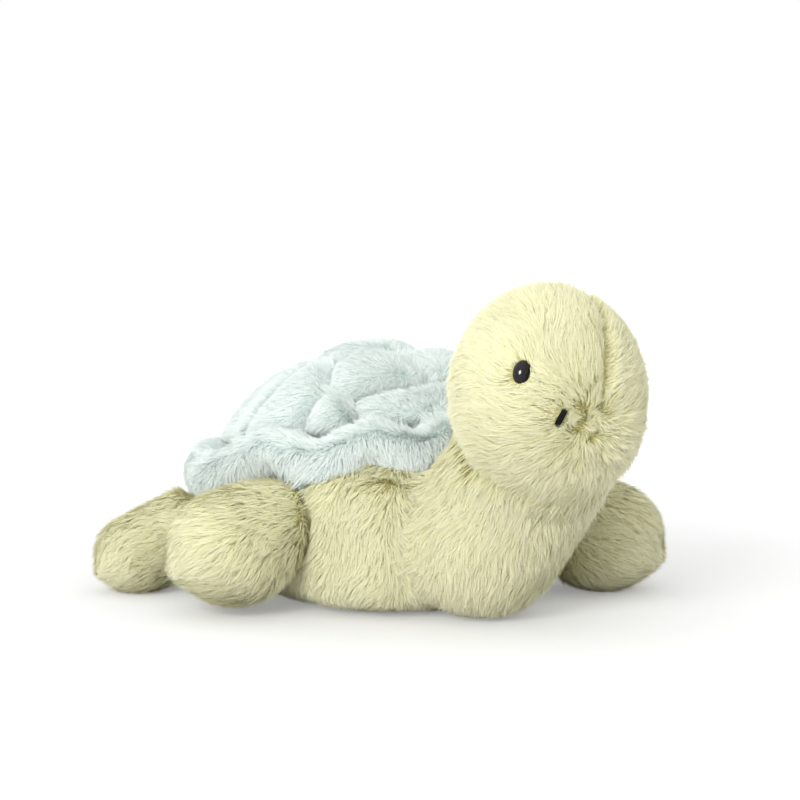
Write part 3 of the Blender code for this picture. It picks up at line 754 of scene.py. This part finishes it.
scutes = sorted(node for node in all_nodes if node.startswith("scute_"))
for number, node in enumerate(scutes):
    plush(node, "trunk", "aqua_plush", back_and_aside, 5.4 * MM, 66, seed=40 + number, rounds=2,
          inset=0.7 * MM, grain=1.6 * MM, density=(2.6, 3.0), width=0.30 * MM, gathered=0.22,
          swirl=0.25)

# %% Shell rim
RIM_PARTING = math.radians(48)      # place of the parting on the roll, up from its outermost side
PARTING_BLEND, PARTING_WIDTH = 0.12, 0.16           # radians on the roll's section
PARTING_DEPTH = 0.9 * MM
RIM_CENTRES = 72                    # stations round the roll at which its centre line is measured
rim_points = np.array([vertex.co[:] for vertex in all_nodes["shell_rim"].data.vertices])


def round_the_shell(places):
    """Angle round the shell, and distance from its middle, of each place."""
    out = places - np.array(SHELL_MIDDLE)
    return np.arctan2(out[:, 0], -out[:, 1]), np.hypot(out[:, 0], out[:, 1])


def hanging(places):
    """Outwards from the shell's middle and down, as pile hangs from the roll."""
    out = places - np.array(SHELL_MIDDLE)
    outwards = unit(np.stack([out[:, 0], out[:, 1], np.full(len(places), -0.05)], 1)) * [1, 1, 0]
    return unit(outwards + np.array([0, 0, -1.2]))


rim_angles, rim_distances = round_the_shell(rim_points)
stations = np.linspace(-math.pi, math.pi, RIM_CENTRES, endpoint=False)
centre_line = []
for station in stations:
    apart = (rim_angles - station + math.pi) % (2 * math.pi) - math.pi
    near = np.abs(apart) < 2.5 * math.pi / RIM_CENTRES
    centre_line.append([(part.min() + part.max()) / 2 for part in (rim_distances[near], rim_points[near, 2])])
centre_line = np.array(centre_line)


def rim_section(places):
    """Each place's angle on the roll's section, up from its outermost side, less the parting's."""
    angles, distances = round_the_shell(places)
    middle_out, middle_up = (np.interp(angles, stations, part, period=2 * math.pi) for part in centre_line.T)
    return np.arctan2(places[:, 2] - middle_up, distances - middle_out) - RIM_PARTING


def rim_brushed(places):
    """Hanging down below the parting, and lying to the tail above it."""
    below = 1 / (1 + np.exp(rim_section(places) / PARTING_BLEND))[:, None]
    return hanging(places) * below + back_and_aside(places) * (1 - below)


def near_parting(places):
    return np.exp(-(rim_section(places) / PARTING_WIDTH) ** 2)


def rim_kept(places):
    """Shorter at the parting, more so in some places than in others."""
    near = near_parting(places) * (0.4 + 0.6 * wandering(places, 50 * MM, 9)).clip(0, 1)
    return 1 - 0.4 * near, np.zeros((len(places), 3))


def press_parting(cover):
    places = np.array([vertex.co[:] for vertex in cover.data.vertices])
    for vertex, depth in zip(cover.data.vertices, PARTING_DEPTH * near_parting(places)):
        vertex.co -= vertex.normal * depth


plush("shell_rim", "trunk", "aqua_plush", rim_brushed, 7.0 * MM, 63, seed=70, rounds=2, inset=2.0 * MM,
      grain=2.0 * MM, apart_from=("body",), density=(2.7, 3.0), width=0.32 * MM, gathered=0.4,
      keep=rim_kept, shape=press_parting)

# %% Shell padding
plush("shell_padding", "trunk", "aqua_plush", back_and_aside, 9.5 * MM, 32, seed=80, rounds=2,
      inset=0.1 * MM, grain=3.2 * MM, density=(3.0, 3.0), width=0.34 * MM, gathered=0.3)
print("hairs in all", hair_total)

# %% [markdown]
# ## Eyes and nostrils
#
# The eyes are moulded beads of polished black plastic, slightly oval, each on a shank that a
# washer locks inside the head. The nostrils are short bars of satin stitch: black threads
# laid side by side.

# %% Bead and thread materials
bead_black, tree, shader = new_material("bead_black", IOR=1.45, Specular_IOR_Level=0.2)
place = add_node(tree, "ShaderNodeTexCoord")
clouding = add_node(tree, "ShaderNodeTexNoise", Scale=600.0, Detail=3.0)
link(tree, place.outputs["Object"], clouding.inputs["Vector"])
polish = add_node(tree, "ShaderNodeMapRange")
polish.inputs["To Min"].default_value = 0.03
polish.inputs["To Max"].default_value = 0.07
link(tree, clouding.outputs["Fac"], polish.inputs["Value"])
link(tree, polish.outputs[0], shader.inputs["Roughness"])
black = add_node(tree, "ShaderNodeMix", data_type="RGBA")
black.inputs["A"].default_value = (0.004, 0.004, 0.005, 1)
black.inputs["B"].default_value = (0.012, 0.011, 0.010, 1)
link(tree, clouding.outputs["Fac"], black.inputs["Factor"])
link(tree, black.outputs["Result"], shader.inputs["Base Color"])

thread_black, tree, shader = new_material("thread_black", Specular_IOR_Level=0.15)
place = add_node(tree, "ShaderNodeTexCoord")
ply = add_node(tree, "ShaderNodeTexNoise", Scale=2500.0, Detail=2.0)
link(tree, place.outputs["Object"], ply.inputs["Vector"])
black = add_node(tree, "ShaderNodeMix", data_type="RGBA")
black.inputs["A"].default_value = (0.003, 0.003, 0.003, 1)
black.inputs["B"].default_value = (0.012, 0.011, 0.010, 1)
link(tree, ply.outputs["Fac"], black.inputs["Factor"])
link(tree, black.outputs["Result"], shader.inputs["Base Color"])
sheen = add_node(tree, "ShaderNodeMapRange")
sheen.inputs["To Min"].default_value = 0.35
sheen.inputs["To Max"].default_value = 0.6
link(tree, ply.outputs["Fac"], sheen.inputs["Value"])
link(tree, sheen.outputs[0], shader.inputs["Roughness"])

white_plastic, tree, shader = new_material("washer_white", IOR=1.49)
place = add_node(tree, "ShaderNodeTexCoord")
grain = add_node(tree, "ShaderNodeTexNoise", Scale=900.0)
link(tree, place.outputs["Object"], grain.inputs["Vector"])
matt = add_node(tree, "ShaderNodeMapRange")
matt.inputs["To Min"].default_value = 0.4
matt.inputs["To Max"].default_value = 0.55
link(tree, grain.outputs["Fac"], matt.inputs["Value"])
link(tree, matt.outputs[0], shader.inputs["Roughness"])
for word in eye_ways:
    washer = all_nodes["eye_washer_" + word]
    washer.data.materials.clear()
    washer.data.materials.append(white_plastic)

# %% Eye beads
SHANK_RADIUS, SHANK_LENGTH = 1.8 * MM, 12.5 * MM
EYE_NESTLE = 1.2 * MM       # beads sink into the pile by this much


def placed(name, bm, matrix, material):
    """A piece whose place is in its mesh."""
    bmesh.ops.transform(bm, matrix=matrix, verts=bm.verts)
    bmesh.ops.recalc_face_normals(bm, faces=bm.faces)
    mesh = bpy.data.meshes.new(name)
    bm.to_mesh(mesh)
    bm.free()
    mesh.materials.append(material)
    mesh.shade_smooth()
    made = bpy.data.objects.new(name, mesh)
    bpy.context.scene.collection.objects.link(made)
    return made


def set_on_head(place, way, slant):
    """The matrix that stands a piece on the head at a place, with its Z along way."""
    own = HEAD_TURNED.to_matrix().inverted() @ way
    turn = HEAD_TURNED.to_matrix() @ own.to_track_quat("Z", "Y").to_matrix() @ Matrix.Rotation(slant, 3, "Z")
    return Matrix.Translation(place) @ turn.to_4x4()


beads = bpy.data.collections.new("beads")       # the catch light shines on these alone
for word, way in eye_ways.items():
    bm = bmesh.new()
    bmesh.ops.create_uvsphere(bm, u_segments=48, v_segments=24, radius=1)
    bmesh.ops.scale(bm, verts=bm.verts, vec=(EYE_WIDTH / 2, EYE_HEIGHT / 2, EYE_BULGE))
    below = [vertex for vertex in bm.verts if vertex.co.z < 0]
    bmesh.ops.scale(bm, verts=below, vec=(1, 1, 0.12))
    shank = bmesh.ops.create_cone(bm, cap_ends=True, segments=24, radius1=SHANK_RADIUS, radius2=SHANK_RADIUS,
                                  depth=SHANK_LENGTH)
    bmesh.ops.translate(bm, verts=shank["verts"], vec=(0, 0, -SHANK_LENGTH / 2 - 0.02 * MM))
    slant = math.radians(EYE_SLANT if word == "right" else -EYE_SLANT)
    middle = eye_tops[word] - way * (EYE_BULGE + EYE_NESTLE)
    bead = placed("eye_%s_bead" % word, bm, set_on_head(middle, way, slant), bead_black)
    beads.objects.link(bead)
    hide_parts("eye_" + word)
    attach(bead, "head")

# %% Nostril stitches
STITCHES = 9
STITCH_BOW = 5.0            # how strongly a thread curves down to its ends
STITCH_CROWN = 0.5 * MM     # height of the middle threads over the outer ones
NOSTRIL_SUNK = {"right": 0.9 * MM, "left": 3.0 * MM}    # the left one is lost in longer pile
STITCH_LENGTH, STITCH_WIDTH, THREAD = 9.6 * MM, 3.2 * MM, 0.46 * MM
for side, word in ((-1, "right"), (1, "left")):
    way = from_head(side * NOSTRIL_TURN, NOSTRIL_PITCH)
    bm = bmesh.new()
    for index in range(STITCHES):
        share = (index + 0.5) / STITCHES * 2 - 1
        length = STITCH_LENGTH * (1 - 0.10 * abs(share) - 0.04 * (index % 2))
        strand = bmesh.ops.create_uvsphere(bm, u_segments=8, v_segments=10, radius=1)["verts"]
        bmesh.ops.scale(bm, verts=strand, vec=(THREAD / 2 * 1.15, THREAD, length / 2))
        bmesh.ops.rotate(bm, verts=strand, matrix=Matrix.Rotation(math.radians(90), 3, "X"))
        for vertex in strand:
            vertex.co.z -= STITCH_BOW * vertex.co.y ** 2
        bmesh.ops.translate(bm, verts=strand, vec=(share * (STITCH_WIDTH - THREAD) / 2, 0,
                                                    STITCH_CROWN * (1 - share * share)))
    slant = side * math.radians(NOSTRIL_SLANT)
    place = set_on_head(nostril_middles[word] - way * NOSTRIL_SUNK[word], way, slant)
    stitches = placed("nostril_%s_stitches" % word, bm, place, thread_black)
    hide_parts("nostril_" + word)
    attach(stitches, "head")

# %% [markdown]
# ## Studio
#
# The photograph is high-key: a white floor and background, a large soft light from the left
# and a bright room all round, a little brighter overhead. The background is made white only
# for the camera, so it throws no extra light on the toy. The floor glows a little for the
# camera too, less under the toy, where its shadow lies. A third lamp shines on the beads
# alone and makes the glint in them.

# %% Floor
FLOOR_SIZE = 6
floor_paint, tree, shader = new_material("floor_paint", Base_Color=(0.68, 0.68, 0.68, 1), Roughness=0.9,
                                         Specular_IOR_Level=0.1, Emission_Color=(1, 1, 1, 1))
path = add_node(tree, "ShaderNodeLightPath")
lift = add_node(tree, "ShaderNodeMath", operation="MULTIPLY")
link(tree, path.outputs["Is Camera Ray"], lift.inputs[0])
place = add_node(tree, "ShaderNodeTexCoord")
away = add_node(tree, "ShaderNodeVectorMath", operation="LENGTH")
link(tree, place.outputs["Object"], away.inputs[0])
fade = add_node(tree, "ShaderNodeMapRange")
for label, value in (("From Min", 0.12), ("From Max", 0.9), ("To Min", 0.26), ("To Max", 0.8)):
    fade.inputs[label].default_value = value
link(tree, away.outputs["Value"], fade.inputs["Value"])
link(tree, fade.outputs[0], lift.inputs[1])
link(tree, lift.outputs[0], shader.inputs["Emission Strength"])
bm = bmesh.new()
bmesh.ops.create_circle(bm, cap_ends=True, segments=64, radius=FLOOR_SIZE)
floor = placed("floor", bm, Matrix.Identity(4), floor_paint)

# %% World and lamps
world = bpy.data.worlds.new("studio")
bpy.context.scene.world = world
world.use_nodes = True
tree = world.node_tree
room = tree.nodes["Background"]
room.inputs["Color"].default_value = (1.0, 1.0, 1.0, 1)
looking = add_node(tree, "ShaderNodeTexCoord")
height = add_node(tree, "ShaderNodeSeparateXYZ")
link(tree, looking.outputs["Generated"], height.inputs[0])
overhead = add_node(tree, "ShaderNodeMapRange")
for label, value in (("From Min", 0.0), ("From Max", 1.0), ("To Min", 0.80), ("To Max", 0.88)):
    overhead.inputs[label].default_value = value
link(tree, height.outputs["Z"], overhead.inputs["Value"])
link(tree, overhead.outputs[0], room.inputs["Strength"])
white = add_node(tree, "ShaderNodeBackground", Color=(1, 1, 1, 1))
path = add_node(tree, "ShaderNodeLightPath")
seen = add_node(tree, "ShaderNodeMixShader")
link(tree, path.outputs["Is Camera Ray"], seen.inputs[0])
link(tree, room.outputs[0], seen.inputs[1])
link(tree, white.outputs[0], seen.inputs[2])
link(tree, seen.outputs[0], tree.nodes["World Output"].inputs["Surface"])


LAMP_AIM = Vector((0, 0, 0.08))


def add_softbox(name, place, size, power):
    """A round soft lamp that shines at the middle of the toy."""
    lamp = bpy.data.lights.new(name, "AREA")
    lamp.shape = "DISK"
    lamp.size = size
    lamp.energy = power
    holder = bpy.data.objects.new(name, lamp)
    holder.location = place
    holder.rotation_euler = (Vector(place) - LAMP_AIM).to_track_quat("Z", "Y").to_euler()
    bpy.context.scene.collection.objects.link(holder)
    return holder


add_softbox("key_softbox", (-1.235, -0.865, 0.74), size=0.7, power=14)
add_softbox("top_softbox", (-0.3, -0.1, 1.6), size=1.6, power=1)
catch_light = add_softbox("catch_light", (-1.38, -0.765, 0.57), size=0.7, power=75)
catch_light.light_linking.receiver_collection = beads
